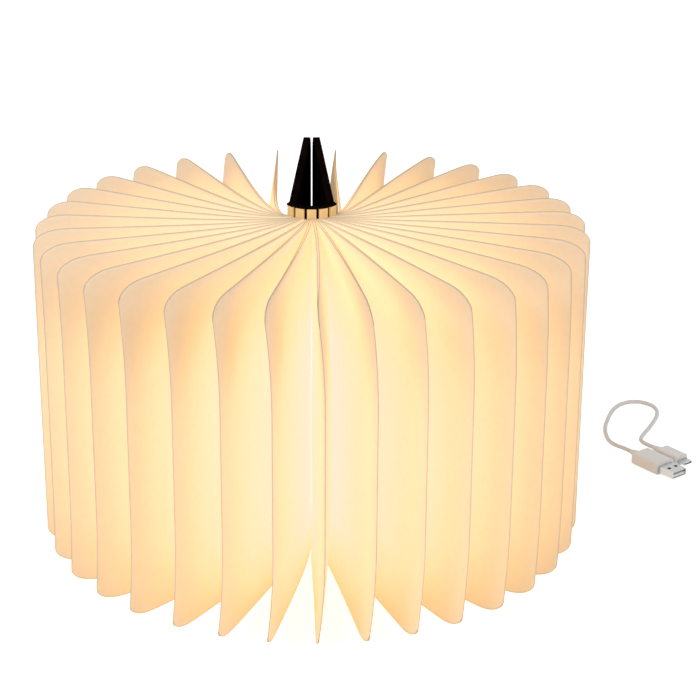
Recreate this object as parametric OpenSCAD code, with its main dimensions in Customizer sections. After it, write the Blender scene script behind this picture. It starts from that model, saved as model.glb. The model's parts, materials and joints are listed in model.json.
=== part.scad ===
// Folding book lamp, opened right round: a slatted spine carries 33 paper pleats,
// and two hard covers fold back to back behind it.
// Millimetres. +Z is up, and the covers stand on z = 0. The front pleat points along -Y.
// A heading is the angle in plan from the front (-Y) round to the right (+X).

/* [Covers] */
// Height of the covers and of the spine
cover_h = 210; // [195:1:220]
// Width of a cover, from its hinge line to its fore-edge
cover_len = 153; // [150:1:160]
// Thickness of a cover with its lining
cover_t = 4.6; // [4:0.1:5]
// Radius of the two outer corners of a cover
cover_corner_r = 14; // [8:1:18]
// Gap between the covers at the fore-edges when they are folded back to back
covers_gap = 0.8; // [0.4:0.1:3]
// Thickness of the lining on a cover's page side
lining_t = 0.5; // [0.4:0.1:0.7]
// Margin of bare cover left round the lining
lining_margin = 3; // [2:0.5:5]

/* [Spine] */
// Distance between two neighbouring hinge lines of the spine
segment_w = 6.3; // [6.2:0.1:6.6]
// Angle that each hinge line of the spine bends through when the lamp is open
segment_bend = 27.2; // [25:0.1:29]
// Thickness of the black spine strip
strip_t = 2; // [1.6:0.1:2.2]
// Running clearance round each hinge line
hinge_gap = 0.2; // [0.15:0.05:0.3]
// Width of a slat
slat_w = 5.3; // [5.2:0.1:5.5]
// Thickness of a slat
slat_t = 1.5; // [1.2:0.1:2]
// Height of the hem of the strip above and below a slat
hem_h = 1.2; // [1:0.1:3]

/* [Pleats] */
// Height of the paper
page_h = 190; // [175:1:196]
// Length of a pleat, from its root to its outer fold, in a straight line
page_len = 150; // [145:1:151]
// Radius of the two outer corners of a pleat
page_corner_r = 8.5; // [4:0.5:14]
// Thickness of the paper
paper_t = 0.2; // [0.15:0.05:0.25]
// Distance between two neighbouring pleats at the spine
root_pitch = 0.88; // [0.86:0.01:0.9]
// Gap between a pleat's root and the slat that it is glued to
glue_gap = 0.5; // [0.3:0.1:0.7]
// Least gap between two neighbouring pleats where they press together
page_gap = 0.3; // [0.25:0.05:0.35]
// Half width that a pleat swells to at half its height, where its neighbours leave room
swell_middle = 13; // [6:0.5:16]
// The same along its top edge
swell_top = 0.8; // [0.6:0.1:4]
// The same along its bottom edge
swell_bottom = 5.5; // [1:0.5:8]
// Half width that the two last pleats swell to on the side of the covers
swell_rear = 2; // [0.5:0.1:2.5]
// How far the outer fold bows sideways, away from its corners
fold_bow = 6.5; // [0:0.5:8]
// Height from a corner over which that bow grows to its full size
bow_rise = 60; // [40:5:90]
// How far a pleat bows sideways between its root and its fold
line_bow = 2; // [0:0.5:3]
// Greatest angle that a pleat leaves its slat at, from square
root_turn = 25; // [10:1:25]
// Angle between the headings of the front pleats
front_step = 10.4; // [9.8:0.1:10.6]
// Heading of the last pleat on each side
rear_heading = 178.2; // [176:0.1:179]

/* [Light and charging] */
// Width of a light strip
led_w = 2; // [1.6:0.1:2.4]
// Height of a light strip
led_h = 170; // [120:5:180]
// Distance between the lights on a strip
led_pitch = 10; // [8:1:20]
// Width, height and thickness of the battery
battery_size = [44, 92, 2.6];
// Width, height and thickness of the circuit board
board_size = [22, 48, 0.8];
// Height of the charging socket's middle above the ground
socket_z = 84; // [70:1:100]
// Diameter of a cover magnet
magnet_d = 10; // [8:0.5:12]
// Thickness of a cover magnet
magnet_t = 1.8; // [1.5:0.1:2]
// Distance of the magnets from the top and the bottom of a cover
magnet_inset = 32; // [26:1:40]

/* [Charging cable] */
// Diameter of the cable's cord
cord_d = 2.8; // [2.6:0.1:3]
// Length of the metal shell of the large plug
large_shell_len = 13; // [12:0.5:14]
// Length of the grip of the large plug
large_grip_len = 22; // [20:1:24]
// Length of the metal shell of the small plug
small_shell_len = 6; // [5:0.5:7]
// Length of the grip of the small plug
small_grip_len = 17; // [15:1:18]
// Length of the tapered sleeve on each grip
sleeve_len = 8; // [6:1:9]

/* [Hidden] */
side_pleats = 16;
pleats_per_slat = 7;
side_slats = 2;

function two_digits(k) = str(k < 10 ? "0" : "", k);

function slat_tag(i) = i == 0 ? "0" : str(i < 0 ? "l" : "r", abs(i));

// Directions and places in plan
function along(heading) = [sin(heading), -cos(heading)];
function across(heading) = [cos(heading), sin(heading)];
hinge_r = segment_w / 2 / sin(segment_bend / 2);
spine_r = segment_w / 2 / tan(segment_bend / 2);
last_hinge = along((side_slats + 0.5) * segment_bend) * hinge_r;
cover_inner = cover_t - strip_t / 2;
cover_lean = asin((last_hinge[0] - cover_inner - covers_gap / 2) / cover_len);
slat_face_r = spine_r + strip_t / 2 + slat_t;
root_r = slat_face_r + glue_gap;
front_reach = root_r + page_len;
back_reach = last_hinge[1] + cover_len * cos(cover_lean) + strip_t / 2 * sin(cover_lean);
spine_y = (front_reach - back_reach) / 2;
page_z = (cover_h - page_h) / 2;
knuckle_r = strip_t / 2;
relief = knuckle_r + hinge_gap;

// Spine. Segment 0 is the middle one, and stays still when the lamp is folded.
module on_segment(i) {
    translate([0, spine_y, 0]) rotate([0, 0, i * segment_bend]) translate([0, -spine_r, 0]) children();
}

module strip_plan(i) {
    outer = i < 0 ? -1 : 1;
    inner_end = i == 0 ? segment_w / 2 : segment_w / 2 - relief;
    x_low = outer > 0 ? -inner_end : -segment_w / 2;
    x_high = outer > 0 ? segment_w / 2 : inner_end;
    translate([x_low, -strip_t / 2]) square([x_high - x_low, strip_t]);
    translate([outer * segment_w / 2, 0]) circle(r = knuckle_r, $fn = 32);
    if (i == 0) translate([-segment_w / 2, 0]) circle(r = knuckle_r, $fn = 32);
}

// A strip wraps round its slat in a hem above and below. The hem's neck stays clear of the knuckles.
hem_clearance = 0.1;
hem_w = segment_w - 2 * hinge_gap - hem_clearance;
hem_neck_w = segment_w - 2 * relief;
module strip(i) {
    color("#150b04") on_segment(i) {
        linear_extrude(cover_h) strip_plan(i);
        for (z = [0, cover_h - hem_h + hem_clearance]) {
            translate([-hem_w / 2, -strip_t / 2 - slat_t, z])
                cube([hem_w, slat_t - hem_clearance, hem_h - hem_clearance]);
            translate([-hem_neck_w / 2, -strip_t / 2 - slat_t, z])
                cube([hem_neck_w, slat_t + strip_t / 4, hem_h - hem_clearance]);
        }
    }
}

// A slat has eased front edges, and on two of them a groove for a light strip.
slat_ease = 0.4;
led_clearance = 0.1;
led_base_t = 0.3;
led_chip = [1.4, 0.3, 2.4];
groove_depth = led_base_t + led_chip[1] + led_clearance;
module slat_plan() {
    half = slat_w / 2;
    polygon([[-half, 0], [half, 0], [half, slat_ease - slat_t],
        [half - slat_ease, -slat_t], [slat_ease - half, -slat_t], [-half, slat_ease - slat_t]]);
}

module slat(i) {
    color("#d8b070") on_segment(i) translate([0, -strip_t / 2, 0]) difference() {
        translate([0, 0, hem_h]) linear_extrude(cover_h - 2 * hem_h) slat_plan();
        if (abs(i) == 1)
            translate([-led_w / 2 - led_clearance, -slat_t - 1, (cover_h - led_h) / 2 - led_clearance])
                cube([led_w + 2 * led_clearance, groove_depth + 1, led_h + 2 * led_clearance]);
    }
}

module led_strip(i) {
    groove_floor = groove_depth - slat_t - strip_t / 2;
    color("#f4dc9a") on_segment(i) translate([0, groove_floor, (cover_h - led_h) / 2]) {
        translate([-led_w / 2, -led_base_t, 0]) cube([led_w, led_base_t, led_h]);
        for (z = [led_pitch / 2:led_pitch:led_h - led_pitch / 2])
            translate([-led_chip[0] / 2, -led_base_t - led_chip[1], z - led_chip[2] / 2])
                cube([led_chip[0], led_chip[1] + led_base_t / 2, led_chip[2]]);
    }
}

// Covers. In a cover's own frame the hinge line is at x = 0, the fore-edge at x = cover_len,
// and the page side faces -Y. The left cover is the right one mirrored.
module on_cover(side) {
    mirror([side < 0 ? 1 : 0, 0, 0])
        translate([last_hinge[0], last_hinge[1] + spine_y, 0])
            rotate([0, 0, 90 + cover_lean]) children();
}

// An upright board from x0 to x1, y0 to y1 and z0 to z1, with its two fore-edge corners rounded
module fore_edge_board(x0, x1, y0, y1, z0, z1, r) {
    translate([0, y1, 0]) rotate([90, 0, 0]) linear_extrude(y1 - y0) {
        translate([x0, z0]) square([x1 - x0 - r, z1 - z0]);
        translate([x0, z0 + r]) square([x1 - x0, z1 - z0 - 2 * r]);
        for (z = [z0 + r, z1 - r]) translate([x1 - r, z]) circle(r = r, $fn = 64);
    }
}

page_face = -strip_t / 2;
lining_back = page_face + lining_t;
pocket_floor = 0.7;
pocket_back = cover_inner - pocket_floor;
fit = 0.3;
board_inset = 28;
part_spacing = 3;
board_x = cover_len - board_inset;
board_z = socket_z - board_size[1] / 2;
battery_x = board_x - battery_size[0] - part_spacing;
battery_z = socket_z - battery_size[1] / 2;
magnet_x = cover_len - magnet_d / 2 - 4;
magnet_zs = [magnet_inset, cover_h - magnet_inset];
socket_size = [5.6, 7.5, 2.5];
lead_x = relief + lining_margin;
lead_w = 6;
lead_t = 0.3;
// Each chip: its place across and up the board, its width, its height and how far it stands out
board_chips = [[4, 8, 7, 7, 1.3], [13, 12, 5, 4, 0.65], [5, 34, 4, 6, 1.3]];
chip_sink = 0.1;
resistors = 4;
resistor_place = [13, 35];
resistor_pitch = 1.8;
resistor = [0.9, 0.6, 1.8];

// The gutter along the hinge lets the cover close past the edge of the last slat.
gutter_w = strip_t / 2 + slat_t + 2 * hinge_gap;
module board(side) {
    difference() {
        fore_edge_board(relief, cover_len, lining_back, cover_inner, 0, cover_h, cover_corner_r);
        for (z = magnet_zs) translate([magnet_x, lining_back + magnet_t + fit / 2, z])
            rotate([90, 0, 0]) cylinder(d = magnet_d + fit, h = magnet_t + fit + 1, $fn = 48);
        translate([0, lining_back - 1, -1]) cube([gutter_w, 1 - lining_back, cover_h + 2]);
        if (side < 0) pockets();
    }
}

module pockets() {
    translate([battery_x - fit, lining_back - 1, battery_z - fit])
        cube([battery_size[0] + 2 * fit, pocket_back - lining_back + 1, battery_size[1] + 2 * fit]);
    translate([board_x - fit, lining_back - 1, board_z - fit])
        cube([board_size[0] + 2 * fit, pocket_back - lining_back + 1, board_size[1] + 2 * fit]);
    translate([cover_len - socket_size[0] - 1, lining_back + fit, socket_z - socket_size[1] / 2 - fit])
        cube([socket_size[0] + 2, pocket_back - lining_back - fit, socket_size[1] + 2 * fit]);
    translate([lead_x - fit, lining_back - 1, socket_z - lead_w / 2 - fit])
        cube([board_x - lead_x + fit, lead_t + fit + 1, lead_w + 2 * fit]);
}

module cover(side) {
    color("#120a05") on_cover(side) board(side);
}

module lining(side) {
    color("#1c120b") on_cover(side)
        fore_edge_board(relief + lining_margin, cover_len - lining_margin, page_face, lining_back,
            lining_margin, cover_h - lining_margin, cover_corner_r - lining_margin);
}

module magnets(side) {
    color("silver") on_cover(side) for (z = magnet_zs)
        translate([magnet_x, lining_back + magnet_t, z]) rotate([90, 0, 0])
            cylinder(d = magnet_d, h = magnet_t, $fn = 48);
}

// What the left cover holds
module battery() {
    color("#9aa0a6") on_cover(-1) translate([battery_x, pocket_back - battery_size[2], battery_z])
        cube([battery_size[0], battery_size[2], battery_size[1]]);
}

module circuit_board() {
    color("#1f5b34") on_cover(-1) translate([board_x, pocket_back - board_size[2], board_z]) {
        cube([board_size[0], board_size[2], board_size[1]]);
        for (chip = board_chips) translate([chip[0], -chip[4], chip[1]])
            cube([chip[2], chip[4] + chip_sink, chip[3]]);
        for (n = [0:resistors - 1])
            translate([resistor_place[0] + resistor_pitch * n, -resistor[1], resistor_place[1]])
                cube([resistor[0], resistor[1] + chip_sink, resistor[2]]);
    }
}

module charging_socket() {
    wall = 0.4;
    mouth = cover_len - 0.2;
    color("silver") on_cover(-1)
        translate([mouth - socket_size[0], pocket_back - socket_size[2], socket_z - socket_size[1] / 2])
            difference() {
                cube([socket_size[0], socket_size[2], socket_size[1]]);
                translate([1, wall, wall])
                    cube([socket_size[0], socket_size[2] - 2 * wall, socket_size[1] - 2 * wall]);
            }
    color("black") on_cover(-1)
        translate([mouth - socket_size[0] + 0.5, pocket_back - socket_size[2] / 2 - 0.3, socket_z - 1.8])
            cube([socket_size[0] - 1.2, 0.6, 3.6]);
}

module led_lead() {
    color("#d9d2b8") on_cover(-1) translate([lead_x, lining_back, socket_z - lead_w / 2])
        cube([board_x - lead_x - fit, lead_t, lead_w]);
}

// Pleats. Each is a sheet folded in half. Its halves leave a slat side by side, swell apart until
// they press on their neighbours, and meet in the outer fold. k counts round to the right from the
// front pleat and is negative on the left, t is a share of the length, and z is a height on the page.
pleats_before_slat = (pleats_per_slat - 1) / 2;
function slat_of(k) = floor((k + pleats_before_slat) / pleats_per_slat);
function root_x(k) = (k - pleats_per_slat * slat_of(k)) * root_pitch;
fan_rise = (rear_heading - side_pleats * front_step) / pow(side_pleats, 3);
function leaf_heading(k) = front_step * k + fan_rise * pow(k, 3);
function root_heading(k) = let (square = slat_of(k) * segment_bend, turn = leaf_heading(k) - square)
    square + sign(turn) * min(abs(turn), root_turn);
function root_point(k) =
    [0, spine_y] + along(slat_of(k) * segment_bend) * root_r + across(slat_of(k) * segment_bend) * root_x(k);
function tip_point(k) = root_point(k) + along(leaf_heading(k)) * page_len;

// In plan a pleat is a Bezier curve. On the last slat each one bends round those behind it.
root_handles = [0.053, 0.08, 0.053] * page_len;
nesting_handle = 0.0133 * page_len;
tip_handle = 0.4 * page_len;
function root_handle(k) = root_handles[abs(slat_of(k))]
    + (abs(slat_of(k)) == side_slats ? nesting_handle * (side_pleats - abs(k)) : 0);
function handles(k) = [root_point(k), root_point(k) + along(root_heading(k)) * root_handle(k),
    tip_point(k) - along(leaf_heading(k)) * tip_handle, tip_point(k)];
function curve_at(p, t) =
    pow(1 - t, 3) * p[0] + 3 * t * pow(1 - t, 2) * p[1] + 3 * t * t * (1 - t) * p[2] + pow(t, 3) * p[3];
function slope_at(p, t) =
    pow(1 - t, 2) * (p[1] - p[0]) + 2 * t * (1 - t) * (p[2] - p[1]) + t * t * (p[3] - p[2]);
function side_at(p, t) = let (d = slope_at(p, t)) [-d[1], d[0]] / norm(d);

// The middle of a pleat, bowed, and the half widths that its sheets swell to
function bow_share(z) = 1 - pow(max(0, 1 - min(z, page_h - z) / bow_rise), 2);
function middle_at(k, t, z) = let (p = handles(k))
    curve_at(p, t) + side_at(p, t) * (line_bow * sin(180 * t) + fold_bow * bow_share(z) * pow(t, 1.3));
function swell_at(z) = let (end = z < page_h / 2 ? swell_bottom : swell_top)
    end + (swell_middle - end) * pow(sin(180 * z / page_h), 0.7);
function smaller_of(a, b) = a * b / pow(pow(a, 5) + pow(b, 5), 0.2);

// Half of the way to the next pleat on a side. Beyond the last pleat the covers leave less room.
function is_last(k, side) = abs(k + side) > side_pleats;
function half_way(k, side, t, z) = is_last(k, side) ? -half_way(k, -side, t, z)
    : (middle_at(k + side, t, z) - middle_at(k, t, z)) / 2;
function sheet_point(k, t, z, side, depth) = let (way = half_way(k, side, t, z),
    beside = norm(way) - page_gap / 2 - paper_t,
    room = is_last(k, side) ? min(beside, swell_rear) : beside,
    open = smaller_of(room, swell_at(z) * pow(1 - t, 0.8)))
        concat(middle_at(k, t, z) + way / norm(way) * (open + depth), page_z + z);

// Stations along a pleat, the last three of them round its corner, and rows up its height
corner_start = 1 - page_corner_r / page_len;
corner_middle = 1 - page_corner_r * (1 - cos(45)) / page_len;
stations = [0, 0.06, 0.15, 0.27, 0.41, 0.56, 0.71, 0.84, corner_start, corner_middle, 1];
rows = [0, 0.17, 0.5, 0.83, 1];
function corner_inset(t) = t <= corner_start ? 0
    : page_corner_r - sqrt(pow(page_corner_r, 2) - pow(page_corner_r - (1 - t) * page_len, 2));
function height_at(t, row) = corner_inset(t) + row * (page_h - 2 * corner_inset(t));

// One closed ring of points per row: out along the right half and back along the left one, then the
// same along their inner faces, which meet in the fold's inner crease
fold_n = len(stations) - 1;
crease_n = fold_n - 1;
ring_size = 2 * (fold_n + 1) + 2 * crease_n + 1;
function outer_right(n) = n;
function outer_left(n) = 2 * fold_n + 1 - n;
function inner_left(n) = 2 * fold_n + 2 + n;
function inner_right(n) = ring_size - 1 - n;

function pleat_ring(k, row) = concat(
    [for (t = stations) sheet_point(k, t, height_at(t, row), 1, paper_t)],
    [for (n = [fold_n:-1:0]) let (t = stations[n]) sheet_point(k, t, height_at(t, row), -1, paper_t)],
    [for (n = [0:crease_n - 1]) let (t = stations[n]) sheet_point(k, t, height_at(t, row), -1, 0)],
    [let (t = stations[crease_n], z = height_at(t, row)) concat(middle_at(k, t, z), page_z + z)],
    [for (n = [crease_n - 1:-1:0]) let (t = stations[n]) sheet_point(k, t, height_at(t, row), 1, 0)]);

// The rim of the paper, as triangles that turn clockwise seen from above
pleat_rim = concat(
    [for (n = [0:crease_n - 1]) each two_triangles(
        outer_right(n), outer_right(n + 1), inner_right(n + 1), inner_right(n))],
    [for (n = [0:crease_n - 1]) each two_triangles(
        inner_left(n), inner_left(n + 1), outer_left(n + 1), outer_left(n))],
    [[outer_right(crease_n), outer_right(fold_n), inner_left(crease_n)],
        [inner_left(crease_n), outer_right(fold_n), outer_left(fold_n)],
        [inner_left(crease_n), outer_left(fold_n), outer_left(crease_n)]]);
function two_triangles(a, b, c, d, back = false) = back ? [[a, b, d], [b, c, d]] : [[a, b, c], [a, c, d]];
// Where the ring runs back toward the spine, its walls are split the other way, so that facing sheets
// are split alike and lie evenly apart
function runs_back(n) = (n > fold_n && n <= 2 * fold_n) || n >= inner_right(crease_n);

module pleat(k) {
    top = len(rows) - 1;
    walls = [for (r = [0:top - 1]) for (n = [0:ring_size - 1])
        let (here = r * ring_size + n, next = r * ring_size + (n + 1) % ring_size)
            each two_triangles(here, next, next + ring_size, here + ring_size, runs_back(n))];
    floor_rim = [for (face = pleat_rim) [face[2], face[1], face[0]]];
    top_rim = [for (face = pleat_rim) [for (n = face) n + top * ring_size]];
    color("#fbe0ae")
        polyhedron([for (row = rows) each pleat_ring(k, row)], concat(walls, floor_rim, top_rim));
}

// Charging cable. It lies beside the lamp: the cord leaves the large plug's sleeve,
// turns back in one loop and ends in the small plug's sleeve.
cable_route = [
    [212, 112, 3.9], [208.4, 116.8, 3.9], [204, 124, 2.9], [201, 133, 1.8], [200, 144, 1.5],
    [201, 156, 1.5], [204, 168, 1.5], [208, 180, 1.5], [213, 191, 1.5], [220, 199, 1.5],
    [229, 202, 1.5], [237, 198, 1.5], [241, 189, 1.5], [240, 178, 1.5], [236, 167, 1.5],
    [231, 156, 1.5], [226, 146, 1.6], [222.5, 137, 2.1], [222, 130.5, 2.9], [224.4, 124.8, 3.3],
    [228, 120, 3.3]];
cord_sides = 8;
plug_heading = atan2(-0.8, 0.6);

function unit(v) = v / norm(v);
function ring_tangent(n) = let (last = len(cable_route) - 1)
    n == 0 ? unit(cable_route[1] - cable_route[0])
    : n == last ? unit(cable_route[last] - cable_route[last - 1])
    : unit(unit(cable_route[n + 1] - cable_route[n]) + unit(cable_route[n] - cable_route[n - 1]));
function ring(n) = let (d = ring_tangent(n), a = unit(cross(d, [0, 0, 1])), b = cross(a, d))
    [for (s = [0:cord_sides - 1]) let (turn = 360 * s / cord_sides)
        cable_route[n] + cord_d / 2 * (cos(turn) * a + sin(turn) * b)];

module cable_cord() {
    rings = len(cable_route);
    points = [for (n = [0:rings - 1]) each ring(n)];
    walls = [for (n = [0:rings - 2]) for (s = [0:cord_sides - 1])
        let (a = n * cord_sides + s, b = n * cord_sides + (s + 1) % cord_sides)
            each [[a, b, b + cord_sides], [a, b + cord_sides, a + cord_sides]]];
    start = [[for (s = [cord_sides - 1:-1:0]) s]];
    end = [[for (s = [0:cord_sides - 1]) (rings - 1) * cord_sides + s]];
    color("#dcdcdc") polyhedron(points, concat(walls, start, end));
}

// In a plug's own frame the sleeve starts at the origin and everything points along +X.
module at_plug(place) {
    translate(place) rotate([0, 0, plug_heading]) children();
}

module sleeve(thick) {
    rotate([0, 90, 0]) cylinder(d1 = cord_d + 0.4, d2 = thick, h = sleeve_len + 0.2, $fn = 32);
}

module grip_body(length, width, thick) {
    r = thick / 4;
    translate([sleeve_len, 0, 0]) rotate([0, 90, 0]) linear_extrude(length) {
        square([thick, width - 2 * r], center = true);
        square([thick - 2 * r, width], center = true);
        for (x = [-1, 1], y = [-1, 1])
            translate([x * (thick / 2 - r), y * (width / 2 - r)]) circle(r = r, $fn = 32);
    }
}

large_grip = [16, 7.8];
large_shell = [12, 4.5];
small_grip = [11, 6.6];
small_shell = [6.9, 1.9];
shell_wall = 0.35;
tongue_t = 1.8;

module plug_shell(length, size, start) {
    translate([start, 0, 0]) difference() {
        translate([0, -size[0] / 2, -size[1] / 2]) cube([length, size[0], size[1]]);
        translate([-1, shell_wall - size[0] / 2, shell_wall - size[1] / 2])
            cube([length + 2, size[0] - 2 * shell_wall, size[1] - 2 * shell_wall]);
        if (size[0] > 10) for (y = [-1, 1])
            translate([5.5, y * 3 - 1.2, 0]) cube([2.4, 2.4, size[1]]);
    }
}

module usb_a_grip() {
    color("white") at_plug(cable_route[0]) {
        sleeve(6);
        grip_body(large_grip_len, large_grip[0], large_grip[1]);
        translate([sleeve_len + large_grip_len - 0.5, fit + shell_wall - large_shell[0] / 2, 0.1 - tongue_t])
            cube([large_shell_len, large_shell[0] - 2 * fit - 2 * shell_wall, tongue_t]);
    }
}

module usb_a_shell() {
    color("silver") at_plug(cable_route[0])
        plug_shell(large_shell_len, large_shell, sleeve_len + large_grip_len);
}

module micro_b_grip() {
    color("white") at_plug(cable_route[len(cable_route) - 1]) {
        sleeve(5.4);
        grip_body(small_grip_len, small_grip[0], small_grip[1]);
        translate([sleeve_len + small_grip_len - 0.5, -2, -0.2]) cube([small_shell_len, 4, 0.5]);
    }
}

module micro_b_shell() {
    color("silver") at_plug(cable_route[len(cable_route) - 1])
        plug_shell(small_shell_len, small_shell, sleeve_len + small_grip_len);
}

for (i = [-side_slats:side_slats]) {
    slat(i);
    strip(i);
}
cover(-1);  // left_cover
cover(1);  // right_cover
lining(-1);  // left_lining
lining(1);  // right_lining
magnets(-1);  // left_magnets
magnets(1);  // right_magnets
led_strip(-1);  // left_led_strip
led_strip(1);  // right_led_strip
led_lead();
battery();
circuit_board();
charging_socket();
pleat(0);  // pleat_00
for (k = [1:side_pleats]) {
    pleat(-k);
    pleat(k);
}
cable_cord();
usb_a_grip();
usb_a_shell();
micro_b_grip();
micro_b_shell();
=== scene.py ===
# %% [markdown]
# # A folding book lamp
#
# The lamp is a hard-backed book that opens right round. Its two covers fold back to back behind a
# slatted spine, and its paper pleats then stand in a full circle and glow. The construction is
# already made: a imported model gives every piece's place and every hinge. This lesson dresses it.

import json
import math

import bpy
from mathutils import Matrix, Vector
from mathutils.geometry import interpolate_bezier

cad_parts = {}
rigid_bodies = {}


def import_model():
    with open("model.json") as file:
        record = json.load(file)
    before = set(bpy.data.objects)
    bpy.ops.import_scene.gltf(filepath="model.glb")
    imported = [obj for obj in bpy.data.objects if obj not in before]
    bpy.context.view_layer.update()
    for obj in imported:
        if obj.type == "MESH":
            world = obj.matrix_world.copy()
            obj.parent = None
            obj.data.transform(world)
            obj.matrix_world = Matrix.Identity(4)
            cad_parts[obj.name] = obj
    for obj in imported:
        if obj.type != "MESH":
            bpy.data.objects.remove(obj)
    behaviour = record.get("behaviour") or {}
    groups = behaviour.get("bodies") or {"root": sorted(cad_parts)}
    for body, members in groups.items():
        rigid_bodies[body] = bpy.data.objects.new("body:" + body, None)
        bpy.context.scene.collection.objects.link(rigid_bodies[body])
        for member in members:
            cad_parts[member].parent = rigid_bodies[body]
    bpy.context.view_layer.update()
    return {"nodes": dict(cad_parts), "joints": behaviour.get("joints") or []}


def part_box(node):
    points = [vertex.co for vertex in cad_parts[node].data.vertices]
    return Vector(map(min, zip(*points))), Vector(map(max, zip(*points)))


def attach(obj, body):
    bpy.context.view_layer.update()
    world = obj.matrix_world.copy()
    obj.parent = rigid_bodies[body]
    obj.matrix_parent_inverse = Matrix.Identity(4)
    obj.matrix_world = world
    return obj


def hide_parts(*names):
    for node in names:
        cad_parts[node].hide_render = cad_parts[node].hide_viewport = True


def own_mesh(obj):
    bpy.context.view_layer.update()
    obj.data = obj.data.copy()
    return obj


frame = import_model()
hinges = {joint["name"]: joint for joint in frame["joints"]}
print("pieces in the frame:", len(frame["nodes"]), "hinges:", len(hinges))

# %% [markdown]
# ## The camera
#
# The photograph looks down on the lamp from the front. A long lens from more than a metre away
# keeps the circle of pleats nearly free of perspective. The angle could be guessed by eye, but the
# paper's height depends on it. So it was fitted to points of the photograph: the pleats' tips,
# their front corners and the far ends of the covers. That gave 20.9 degrees above the table. The
# lamp stands left of the picture's middle. The lens is shifted for that, and the camera isn't
# turned, because a shift keeps the verticals as they are in the photograph.

# %% Camera
def new_object(name, data):
    made = bpy.data.objects.new(name, data)
    bpy.context.scene.collection.objects.link(made)
    return made


pleat_low, pleat_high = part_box("pleat_00")
fan_radius = 0.1586
view_height = 0.1348
fan_centre = Vector((0, pleat_low.y + fan_radius, view_height))
camera_height_angle = math.radians(20.86)
distance_in_radii = 7.18
camera_distance = distance_in_radii * fan_radius
lens_mm = 99.94
sensor_mm = 36
picture_px = 700
centre_px = (311.65, 326.2)

camera = new_object("camera", bpy.data.cameras.new("camera"))
camera.data.sensor_width = sensor_mm
camera.data.lens = lens_mm
camera.data.shift_x = (picture_px / 2 - centre_px[0]) / picture_px
camera.data.shift_y = (centre_px[1] - picture_px / 2) / picture_px
toward_camera = Vector((0, -math.cos(camera_height_angle), math.sin(camera_height_angle)))
camera.location = fan_centre + toward_camera * camera_distance
camera.rotation_euler = toward_camera.to_track_quat("Z", "Y").to_euler()
bpy.context.scene.camera = camera
print("camera stands", round(camera_distance, 3), "m from the middle of the fan")

# %% [markdown]
# ## Small helpers for materials
#
# Every finish here is a node tree. It could be joined up by hand in the shader editor. In a script,
# a few short helpers keep each tree readable. One makes a material and hands back its main shader,
# and one adds a node with its settings. One adds a texture in the piece's own coordinates, so that
# it goes where the piece goes. The others make a row of colours, a bump and a product, and put a
# finish on a piece.

# %% Helpers for materials
def new_finish(name):
    finish = bpy.data.materials.new(name)
    finish.use_nodes = True
    return finish, finish.node_tree, finish.node_tree.nodes["Principled BSDF"]


def add(tree, kind, **settings):
    node = tree.nodes.new(kind)
    for key, value in settings.items():
        if key in node.inputs:
            node.inputs[key].default_value = value
        else:
            setattr(node, key, value)
    return node


def texture(tree, kind, **settings):
    node = add(tree, kind, **settings)
    place = add(tree, "ShaderNodeTexCoord")
    tree.links.new(place.outputs["Object"], node.inputs["Vector"])
    return node


def ramp(tree, source, stops):
    node = tree.nodes.new("ShaderNodeValToRGB")
    tree.links.new(source, node.inputs["Fac"])
    elements = node.color_ramp.elements
    while len(elements) < len(stops):
        elements.new(0.5)
    for element, (place, colour) in zip(elements, stops):
        element.position = place
        element.color = (*colour, 1)
    return node.outputs["Color"]


def bump(tree, shader, height, strength, distance):
    node = add(tree, "ShaderNodeBump", Strength=strength, Distance=distance)
    tree.links.new(height, node.inputs["Height"])
    tree.links.new(node.outputs["Normal"], shader.inputs["Normal"])


def multiply(tree, a, b):
    node = tree.nodes.new("ShaderNodeMath")
    node.operation = "MULTIPLY"
    tree.links.new(a, node.inputs[0])
    tree.links.new(b, node.inputs[1])
    return node.outputs[0]


def dress(piece, finish):
    piece.data.materials.clear()
    piece.data.materials.append(finish)


def dress_nodes(finish, *names):
    for name in names:
        dress(frame["nodes"][name], finish)


print("pieces to dress:", len(frame["nodes"]))

# %% [markdown]
# ## The charging cable
#
# The cable lies beside the lamp: about 0.2 m of soft round cord between a large plug and a small
# one. It could be a row of cylinders, but a real cord is one smooth curve. So it starts as a Bezier
# curve through the route's points, with a round bevel. The curve is then turned into a mesh, whose
# box can be measured exactly, and its middle line is worked out as a row of points. Both ends lie
# in their plugs' sleeves.

# %% Route of the cord
cord_d = 0.0028
cord_route_mm = [
    (212, 112, 3.9), (208.4, 116.8, 3.9), (204, 124, 2.9), (201, 133, 1.8), (200, 144, 1.5),
    (201, 156, 1.5), (204, 168, 1.5), (208, 180, 1.5), (213, 191, 1.5), (220, 199, 1.5),
    (229, 202, 1.5), (237, 198, 1.5), (241, 189, 1.5), (240, 178, 1.5), (236, 167, 1.5),
    (231, 156, 1.5), (226, 146, 1.6), (222.5, 137, 2.1), (222, 130.5, 2.9), (224.4, 124.8, 3.3),
    (228, 120, 3.3)]
cord_route = [Vector(point) / 1000 for point in cord_route_mm]
print("points on the cord's route:", len(cord_route))

# %% Cord, from a curve to a mesh
steps_per_knot = 8

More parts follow.
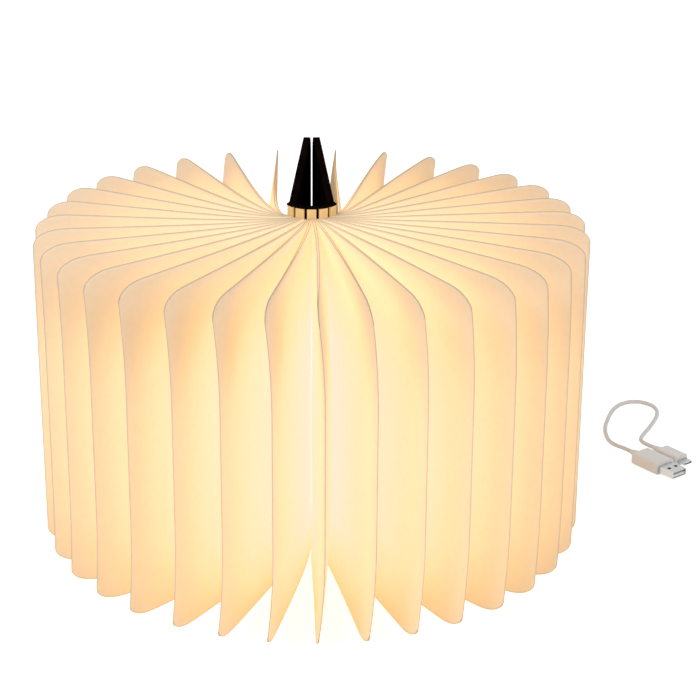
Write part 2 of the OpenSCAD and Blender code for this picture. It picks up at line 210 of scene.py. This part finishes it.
cord_curve = bpy.data.curves.new("cord", "CURVE")
cord_curve.dimensions = "3D"
cord_curve.bevel_depth = cord_d / 2
cord_curve.bevel_resolution = 5
cord_curve.resolution_u = steps_per_knot
cord_spline = cord_curve.splines.new("BEZIER")
cord_spline.bezier_points.add(len(cord_route) - 1)
for knot, place in zip(cord_spline.bezier_points, cord_route):
    knot.co = place
    knot.handle_left_type = knot.handle_right_type = "AUTO"
cord_path = new_object("cord_path", cord_curve)
cord_shaped = cord_path.evaluated_get(bpy.context.evaluated_depsgraph_get())
cord_mesh = bpy.data.meshes.new_from_object(cord_shaped)
knots = cord_shaped.data.splines[0].bezier_points
cord_line = [point for a, b in zip(knots, knots[1:])
             for point in interpolate_bezier(a.co, a.handle_right, b.handle_left, b.co,
                                             steps_per_knot + 1)[:-1]]
cord_line.append(knots[-1].co.copy())
bpy.data.objects.remove(cord_path)
cord = new_object("cord", cord_mesh)
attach(cord, "spine")
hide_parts("cable_cord")

# %% [markdown]
# ## The paper
#
# On the real lamp the pleats are cream paper, and glow because light from the spine soaks through
# them. Tracing that light through 33 folded sheets would be slow and grainy, so each sheet gives
# off its own light. Two maps on each sheet say where a point is on the page and how deep in its
# valley, and the glow is worked out from them. It is brightest in the crease where two pleats
# touch, and weakest at the fold, along the edges and in the outer top corner. The studio's light
# then shapes the folds.

# %% Glow of the paper
def grey(level):
    return (level, level, level)


def map_parts(tree, name):
    uv = add(tree, "ShaderNodeUVMap", uv_map=name)
    split = add(tree, "ShaderNodeSeparateXYZ")
    tree.links.new(uv.outputs["UV"], split.inputs["Vector"])
    return split.outputs["X"], split.outputs["Y"]


def toward_top_corner(tree, reach, height):
    """0 at the foot of the root and 1 at the outer top corner."""
    reach_share = 0.6
    upward = add(tree, "ShaderNodeMath", operation="MULTIPLY")
    upward.inputs[1].default_value = 1 - reach_share
    tree.links.new(height, upward.inputs[0])
    outward = add(tree, "ShaderNodeMath", operation="MULTIPLY_ADD")
    outward.inputs[1].default_value = reach_share
    tree.links.new(reach, outward.inputs[0])
    tree.links.new(upward.outputs[0], outward.inputs[2])
    return outward.outputs[0]


def paper_glow(tree, reach, height, opening, edge_shade):
    leak = ramp(tree, opening, [
        (0.0, grey(1)), (0.05, grey(0.86)), (0.4, grey(0.8)), (0.72, grey(0.66)),
        (0.86, grey(0.42)), (0.95, grey(0.24)), (1.0, grey(0.16))])
    upright = ramp(tree, height, [
        (0.0, grey(0.5)), (0.07, grey(0.72)), (0.2, grey(1)), (0.75, grey(1)), (0.9, grey(0.8)),
        (1.0, grey(0.45))])
    corner = ramp(tree, toward_top_corner(tree, reach, height), [
        (0.84, grey(1)), (0.92, grey(0.5)), (1.0, grey(0.3))])
    # The glow is weaker along the edges and fold: painted shade.
    glow = multiply(tree, multiply(tree, multiply(tree, leak, upright), edge_shade), corner)
    return ramp(tree, glow, [
        (0.0, (0.1, 0.03, 0.0)), (0.2, (0.3, 0.17, 0.05)), (0.45, (0.4, 0.27, 0.14)),
        (0.7, (0.42, 0.29, 0.23)), (0.87, (0.43, 0.29, 0.3)), (1.0, (0.46, 0.38, 0.42))])


print("glow from maps: sheet and valley")

# %% Paper and its cut edge
def paper_finish():
    finish, tree, shader = new_finish("pleat_paper")
    reach, height = map_parts(tree, "sheet")
    opening, edge = map_parts(tree, "valley")
    # Painted shade: a thin band along the sheet's edges and fold dims the glow and darkens the paper's
    # colour.
    edge_shade = ramp(tree, edge, [(0.0, grey(0.72)), (0.03, grey(0.84)), (0.06, grey(1))])
    glow = paper_glow(tree, reach, height, opening, edge_shade)
    tree.links.new(glow, shader.inputs["Emission Color"])
    shader.inputs["Emission Strength"].default_value = 1
    fibres = texture(tree, "ShaderNodeTexNoise", Scale=260, Detail=5, Roughness=0.6)
    base = ramp(tree, fibres.outputs["Fac"], [(0.3, (0.78, 0.68, 0.53)), (0.7, (0.81, 0.71, 0.56))])
    # Painted shade: the paper's colour is multiplied by the edge band, so it is darker along the edges
    # and fold.
    edge_shaded_base = add(tree, "ShaderNodeMix", data_type="RGBA", blend_type="MULTIPLY")
    edge_shaded_base.inputs["Factor"].default_value = 1
    colour_a, colour_b, colour_result = 6, 7, 2
    tree.links.new(base, edge_shaded_base.inputs[colour_a])
    tree.links.new(edge_shade, edge_shaded_base.inputs[colour_b])
    tree.links.new(edge_shaded_base.outputs[colour_result], shader.inputs["Base Color"])
    shader.inputs["Roughness"].default_value = 0.8
    shader.inputs["Specular IOR Level"].default_value = 0.1
    bump(tree, shader, fibres.outputs["Fac"], strength=0.06, distance=0.0003)
    return finish


def shaded_paper_edge_finish():
    finish, tree, shader = new_finish("shaded_paper_edge")
    grain = texture(tree, "ShaderNodeTexNoise", Scale=900, Detail=3)
    # Painted shade: the cut edge is a darker tan than the paper, for the shaded line along each
    # pleat's edge.
    base = ramp(tree, grain.outputs["Fac"], [(0.3, (0.52, 0.41, 0.26)), (0.7, (0.64, 0.52, 0.35))])
    tree.links.new(base, shader.inputs["Base Color"])
    shader.inputs["Roughness"].default_value = 0.9
    return finish


paper = paper_finish()
shaded_paper_edge = shaded_paper_edge_finish()
print("nodes in the paper's tree:", len(paper.node_tree.nodes))

# %% [markdown]
# ## Where a pleat goes
#
# Each real pleat is fixed to a slat. It leaves within 25 degrees of square to it, and bends round
# until it points along its own heading. Every bend could be drawn by hand, but the frame knows both
# ends: a pleat's hinge stands at its root, and the angle that it folds through, added to its
# slat's, is its heading. So in plan the pleat follows a Bezier curve between them, whose handles
# are shares of the page's length. On the last slats each pleat bends round those behind it, and its
# first handle is longer. In the photograph the pleats in front and at the sides point a little
# nearer to the front than the frame's. So each heading is drawn in by up to three hundredths.

# %% A pleat's line in plan
side_pleats = 16
page_len = Vector(hinges["pleat_r01_fold"]["pos_m"]).y - pleat_low.y
segment_bend = hinges["right_spine_hinge_1"]["range_deg"][1]
segment_parents = {"spine": 0, "right_segment_1": 1, "right_segment_2": 2}
root_turn = 25
root_handles = (0.053, 0.08, 0.053)
nesting_handle = 0.0133
tip_handle = 0.4
front_closing = 0.03


def heading_vector(degrees):
    return Vector((math.sin(math.radians(degrees)), -math.cos(math.radians(degrees))))


def right_pleat_facts(k):
    """Root in plan, number of the slat, and the heading that the frame gives the pleat."""
    if k == 0:
        return Vector((0, pleat_low.y + page_len)), 0, 0
    hinge = hinges[f"pleat_r{k:02d}_fold"]
    slat = segment_parents[hinge["parent"]]
    return Vector(hinge["pos_m"][:2]), slat, slat * segment_bend + hinge["range_deg"][1]


def plan_handles(k):
    root, slat, heading = right_pleat_facts(abs(k))
    heading *= 1 - front_closing * (1 - (k / side_pleats) ** 2)
    square = slat * segment_bend
    leave = square + max(-root_turn, min(root_turn, heading - square))
    lead = root_handles[slat] + (nesting_handle * (side_pleats - abs(k)) if slat == 2 else 0)
    tip = root + heading_vector(heading) * page_len
    points = [root, root + heading_vector(leave) * lead * page_len,
              tip - heading_vector(heading) * tip_handle * page_len, tip]
    if k < 0:
        points = [Vector((-p.x, p.y)) for p in points]
    return points


def plan_point(handles, t):
    a, b, c, d = handles
    return a * (1 - t) ** 3 + b * 3 * t * (1 - t) ** 2 + c * 3 * t * t * (1 - t) + d * t ** 3


def plan_side(handles, t):
    """Unit vector square to the pleat, towards higher headings."""
    a, b, c, d = handles
    slope = (b - a) * (1 - t) ** 2 + (c - b) * 2 * t * (1 - t) + (d - c) * t * t
    return Vector((-slope.y, slope.x)).normalized()


print("pleat length", round(page_len, 4), "last heading", round(right_pleat_facts(side_pleats)[2], 1))

# %% [markdown]
# ## The shape of a pleat
#
# A real pleat is one sheet of paper, folded at its outer edge, and it isn't flat. The whole pleat
# leans and bows to one side, less near its top and bottom edges. Its two halves swell until they
# nearly touch their neighbours, hardly at all along the top edge. A cloth simulation could press 33
# sheets together, but it is slow and hard to steer. So a formula gives the half width at every
# point: the smaller of half the way to the next pleat and a swelling that closes towards the fold.
# The stations along a pleat stand closer together at the root and at the fold. The camera's fit
# gave slightly taller paper than the frame's, so the page reaches a little past it.

# %% Sizes of a pleat
below_frame = 0.0015
above_frame = 0.0035
page_bottom = pleat_low.z - below_frame
page_h = pleat_high.z + above_frame - page_bottom
corner_len = 0.015
corner_h = 0.0095
sheet_t = 0.0003
line_bow = 0.002
lean = 0.0028
fold_bow = 0.0042
bow_rise = 0.06
bow_onset = 1.3
swell_top = 0.0006
swell_bottom = 0.0055
swell_middle = 0.013
swell_rear = 0.0022
swell_fullness = 0.7
swell_closing = 0.8
least_swell = 0.0001
least_room = 0.00012
along_steps = 26
along_crowding = 0.9
height_steps = 40

stations = [(1 - math.cos(math.pi * (step / along_steps) ** along_crowding)) / 2
            for step in range(along_steps + 1)]
plan_lines = {}
for k in range(-side_pleats, side_pleats + 1):
    handles = plan_handles(k)
    plan_lines[k] = [(plan_point(handles, t), plan_side(handles, t)) for t in stations]
print("page height", round(page_h, 4), "stations along a pleat:", len(stations))

# %% Formulas for a pleat
def smaller_of(a, b):
    """Close to the smaller of the two, with a smooth change between them."""
    sharpness = 5
    return (a ** -sharpness + b ** -sharpness) ** (-1 / sharpness)


def swell(height):
    end = swell_bottom if height < 0.5 else swell_top
    return end + (swell_middle - end) * math.sin(math.pi * height) ** swell_fullness


def middle_at(k, step, z):
    """Where the middle of a pleat stands in plan, with its lean and its two bows."""
    t = stations[step]
    point, side = plan_lines[k][step]
    rise = 1 - max(0, 1 - min(z, page_h - z) / bow_rise) ** 2
    sideways = line_bow * math.sin(math.pi * t) + lean * t + fold_bow * rise * t ** bow_onset
    return point + side * sideways


def way_to_next(k, step, z, side):
    """Half of the way to the next pleat. Beyond the last pleat the covers leave less room."""
    if abs(k + side) > side_pleats:
        way = -way_to_next(k, step, z, -side)
        return way * min(1, swell_rear / way.length)
    return (middle_at(k + side, step, z) - middle_at(k, step, z)) / 2


def corner_inset(t):
    from_fold = (1 - t) * page_len
    if from_fold >= corner_len:
        return 0
    return corner_h * (1 - math.sqrt(1 - (1 - from_fold / corner_len) ** 2))


print("widest swelling of half a pleat:", round(swell(0.5), 4))

# %% [markdown]
# ## From the formulas to a mesh
#
# The sheet is a grid of quads: columns from the root out to the fold along one half, then back
# along the other. It could be two flat sheets with a modifier to bend them, but a grid takes each
# point straight from the formulas. One map on it keeps how far each point is from the spine and how
# high it is. A second one keeps how open the valley is there, 0 where two pleats touch and 1 at the
# fold, and how near the sheet's edge or fold is.

# %% Mesh of a pleat
edge_band = 0.01
even_rows = 0.35


def sheet_point(k, step, side, row):
    """A point of the sheet, and its places on the sheet map and on the valley map."""
    t = stations[step]
    low = corner_inset(t)
    crowded = (1 - math.cos(math.pi * row / height_steps)) / 2
    height = even_rows * row / height_steps + (1 - even_rows) * crowded
    z = low + (page_h - 2 * low) * height
    place = middle_at(k, step, z)
    opening = 1
    if side:
        way = way_to_next(k, step, z, side)
        room = max(way.length - sheet_t, least_room)
        half = smaller_of(room, swell(z / page_h) * (1 - t) ** swell_closing + least_swell)
        place = place + way.normalized() * half
        opening = 1 - half / room
    to_edge = min(z - low, page_h - low - z, (1 - t) * page_len)
    valley = (opening, min(1, to_edge / edge_band))
    return (place.x, place.y, page_bottom + z), (t, z / page_h), valley


def pleat_mesh(name, k):
    columns = [(step, -1) for step in range(along_steps)] + [(along_steps, 0)]
    columns += [(step, 1) for step in reversed(range(along_steps))]
    rows = height_steps + 1
    grid = [sheet_point(k, step, side, row) for step, side in columns for row in range(rows)]
    points, sheet_places, valley_places = zip(*grid)
    faces = [(c * rows + r, (c + 1) * rows + r, (c + 1) * rows + r + 1, c * rows + r + 1)
             for c in range(len(columns) - 1) for r in range(height_steps)]
    mesh = bpy.data.meshes.new(name)
    mesh.from_pydata(points, [], faces)
    for map_name, places in (("sheet", sheet_places), ("valley", valley_places)):
        uv = mesh.uv_layers.new(name=map_name)
        for loop in mesh.loops:
            uv.data[loop.index].uv = places[loop.vertex_index]
    for face in mesh.polygons:
        face.use_smooth = True
    return mesh


def build_pleat(k):
    node = "pleat_00" if k == 0 else f"pleat_{'r' if k > 0 else 'l'}{abs(k):02d}"
    pleat = new_object(node + "_paper", pleat_mesh(node + "_paper", k))
    pleat.data.materials.append(paper)
    # The sheet's cut edge takes the darker tan of painted shade.
    pleat.data.materials.append(shaded_paper_edge)
    thick = pleat.modifiers.new("paper thickness", "SOLIDIFY")
    thick.thickness = sheet_t
    thick.offset = 0
    thick.material_offset_rim = 1
    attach(pleat, "spine" if k == 0 else node)
    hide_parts(node)
    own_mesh(pleat)
    return pleat


pleats = [build_pleat(k) for k in range(-side_pleats, side_pleats + 1)]
print("pleats:", len(pleats), "faces in one:", len(pleats[0].data.polygons))

# %% [markdown]
# ## Covers, spine and slats
#
# The covers are board wrapped in thin near-black leather cloth with a fine pebble. A picture of
# leather could be wrapped round them, but a texture of cells gives the pebble with no picture file.
# The cloth shows no gloss in the photograph, so its shader has none. The slats are pale wood: noise
# stretched upwards is their grain, and a faint light of their own stands for the paper's glow.

# %% Dark leather, wood and lining
def leather_finish(name, dark, light, pebble):
    finish, tree, shader = new_finish(name)
    cells = texture(tree, "ShaderNodeTexVoronoi", Scale=pebble)
    mottle = texture(tree, "ShaderNodeTexNoise", Scale=60, Detail=4)
    base = ramp(tree, mottle.outputs["Fac"], [(0.3, dark), (0.75, light)])
    tree.links.new(base, shader.inputs["Base Color"])
    shader.inputs["Roughness"].default_value = 0.5
    shader.inputs["Specular IOR Level"].default_value = 0
    bump(tree, shader, cells.outputs["Distance"], strength=0.15, distance=0.0003)
    return finish


def wood_finish():
    finish, tree, shader = new_finish("slat_wood")
    stretched = texture(tree, "ShaderNodeMapping", Scale=(900, 900, 24))
    grain = add(tree, "ShaderNodeTexNoise", Scale=1, Detail=6, Roughness=0.65)
    tree.links.new(stretched.outputs["Vector"], grain.inputs["Vector"])
    base = ramp(tree, grain.outputs["Fac"], [(0.3, (0.72, 0.52, 0.24)), (0.7, (0.88, 0.68, 0.38))])
    tree.links.new(base, shader.inputs["Base Color"])
    shader.inputs["Roughness"].default_value = 0.6
    shader.inputs["Specular IOR Level"].default_value = 0.2
    shader.inputs["Emission Color"].default_value = (0.14, 0.07, 0.02, 1)
    shader.inputs["Emission Strength"].default_value = 1
    bump(tree, shader, grain.outputs["Fac"], strength=0.2, distance=0.0002)
    return finish


cover_leather = leather_finish("cover_leather", dark=(0.003, 0.0015, 0.001),
                               light=(0.007, 0.004, 0.003), pebble=2400)
lining = leather_finish("lining_paper", dark=(0.012, 0.008, 0.005), light=(0.02, 0.014, 0.009),
                        pebble=3600)
slat_wood = wood_finish()
tags = ("l2", "l1", "0", "r1", "r2")
dress_nodes(cover_leather, "left_cover", "right_cover", *[f"strip_{t}" for t in tags])
dress_nodes(lining, "left_lining", "right_lining")
dress_nodes(slat_wood, *[f"slat_{t}" for t in tags])
print("dark leather on the covers and the spine strip, wood on", len(tags), "slats")

# %% [markdown]
# ## Metal, plastic and electronics
#
# The plugs, the cable and the parts inside the lamp differ only in colour, roughness and metal.
# Each could have a tree of its own, but one recipe with a fine grain serves them all and keeps them
# alike. The light strips and their lead also give off a warm light.

# %% Metal, plastic and electronics
def plain_finish(name, colour, rough, metal=0.0):
    finish, tree, shader = new_finish(name)
    grain = 1500
    depth = 0.05
    shade = 0.93
    noise = texture(tree, "ShaderNodeTexNoise", Scale=grain, Detail=3)
    shaded = tuple(c * shade for c in colour)
    base = ramp(tree, noise.outputs["Fac"], [(0.3, shaded), (0.7, colour)])
    tree.links.new(base, shader.inputs["Base Color"])
    shader.inputs["Roughness"].default_value = rough
    shader.inputs["Metallic"].default_value = metal
    bump(tree, shader, noise.outputs["Fac"], strength=depth, distance=0.0002)
    return finish


cable_sheath = plain_finish("cable_sheath", (0.72, 0.72, 0.72), rough=0.45)
dress(cord, cable_sheath)
dress_nodes(plain_finish("plug_grip", (0.8, 0.8, 0.79), rough=0.35), "usb_a_grip", "micro_b_grip")
dress_nodes(plain_finish("plug_metal", (0.56, 0.56, 0.54), rough=0.28, metal=1),
            "usb_a_shell", "micro_b_shell", "charging_socket")
dress_nodes(plain_finish("magnet_nickel", (0.6, 0.6, 0.58), rough=0.2, metal=1),
            "left_magnets", "right_magnets")
dress_nodes(plain_finish("battery_foil", (0.6, 0.62, 0.64), rough=0.4, metal=0.8), "battery")
dress_nodes(plain_finish("board", (0.02, 0.1, 0.04), rough=0.4), "circuit_board")
led_finish = plain_finish("led_strip", (0.85, 0.8, 0.6), rough=0.5)
led_shader = led_finish.node_tree.nodes["Principled BSDF"]
led_shader.inputs["Emission Color"].default_value = (1, 0.7, 0.3, 1)
led_shader.inputs["Emission Strength"].default_value = 1
dress_nodes(led_finish, "left_led_strip", "right_led_strip", "led_lead")
print("finishes:", len(bpy.data.materials))

# %% [markdown]
# ## Floor and light
#
# The lamp stands on plain white. A white world could light it too, but as bright as that it would
# wash out the colours. So the world shows white to the camera, and gives the lamp only as much
# light as a soft studio does. The floor is a pale matt surface that is lifted to white for the
# camera, and keeps the soft shadow under the lamp.

# %% World
def white_to_camera(tree, plain, white):
    """Shows white to the camera, in reflections and through glass, and plain to all other rays."""
    path = add(tree, "ShaderNodeLightPath")
    glossy_or_camera = add(tree, "ShaderNodeMath", operation="MAXIMUM")
    tree.links.new(path.outputs["Is Camera Ray"], glossy_or_camera.inputs[0])
    tree.links.new(path.outputs["Is Glossy Ray"], glossy_or_camera.inputs[1])
    any_of = add(tree, "ShaderNodeMath", operation="MAXIMUM")
    tree.links.new(glossy_or_camera.outputs[0], any_of.inputs[0])
    tree.links.new(path.outputs["Is Transmission Ray"], any_of.inputs[1])
    mix = add(tree, "ShaderNodeMixShader")
    tree.links.new(any_of.outputs[0], mix.inputs["Fac"])
    tree.links.new(plain, mix.inputs[1])
    tree.links.new(white, mix.inputs[2])
    return mix.outputs["Shader"]


world_strength = 0.5
world = bpy.data.worlds.new("studio")
bpy.context.scene.world = world
world.use_nodes = True
world_tree = world.node_tree
soft = world_tree.nodes["Background"]
soft.inputs["Color"].default_value = (1, 1, 1, 1)
soft.inputs["Strength"].default_value = world_strength
shown = add(world_tree, "ShaderNodeBackground", Color=(1, 1, 1, 1), Strength=1)
world_tree.links.new(white_to_camera(world_tree, soft.outputs[0], shown.outputs[0]),
                     world_tree.nodes["World Output"].inputs["Surface"])
print("world lights the lamp at strength", world_strength)

# %% Floor
floor_half = 3
floor_drop = 0.0002
lift_to_white = 0.62
floor_mesh = bpy.data.meshes.new("floor")
floor_mesh.from_pydata([(-floor_half, -floor_half, 0), (floor_half, -floor_half, 0),
                        (floor_half, floor_half, 0), (-floor_half, floor_half, 0)], [], [(0, 1, 2, 3)])
floor = new_object("floor", floor_mesh)
floor.location.z = -floor_drop
floor_finish, floor_tree, floor_shader = new_finish("floor")
floor_shader.inputs["Base Color"].default_value = (0.9, 0.9, 0.9, 1)
floor_shader.inputs["Roughness"].default_value = 0.9
floor_lift = add(floor_tree, "ShaderNodeEmission", Color=(1, 1, 1, 1), Strength=lift_to_white)
floor_shown = add(floor_tree, "ShaderNodeAddShader")
floor_tree.links.new(floor_shader.outputs[0], floor_shown.inputs[0])
floor_tree.links.new(floor_lift.outputs[0], floor_shown.inputs[1])
floor_tree.links.new(white_to_camera(floor_tree, floor_shader.outputs[0], floor_shown.outputs[0]),
                     floor_tree.nodes["Material Output"].inputs["Surface"])
dress(floor, floor_finish)
print("floor is", 2 * floor_half, "m square")

# %% Lamps of the studio
def soft_lamp(name, place, size, watts):
    lamp = new_object(name, bpy.data.lights.new(name, "AREA"))
    lamp.data.shape = "DISK"
    lamp.data.size = size
    lamp.data.energy = watts
    lamp.location = place
    lamp.rotation_euler = (Vector(place) - fan_centre).to_track_quat("Z", "Y").to_euler()


soft_lamp("key", (-0.7, -0.8, 1.3), size=0.9, watts=9)
soft_lamp("fill", (1.0, -0.6, 0.9), size=1.0, watts=4)
bpy.context.scene.view_settings.view_transform = "Standard"
print("studio is lit")
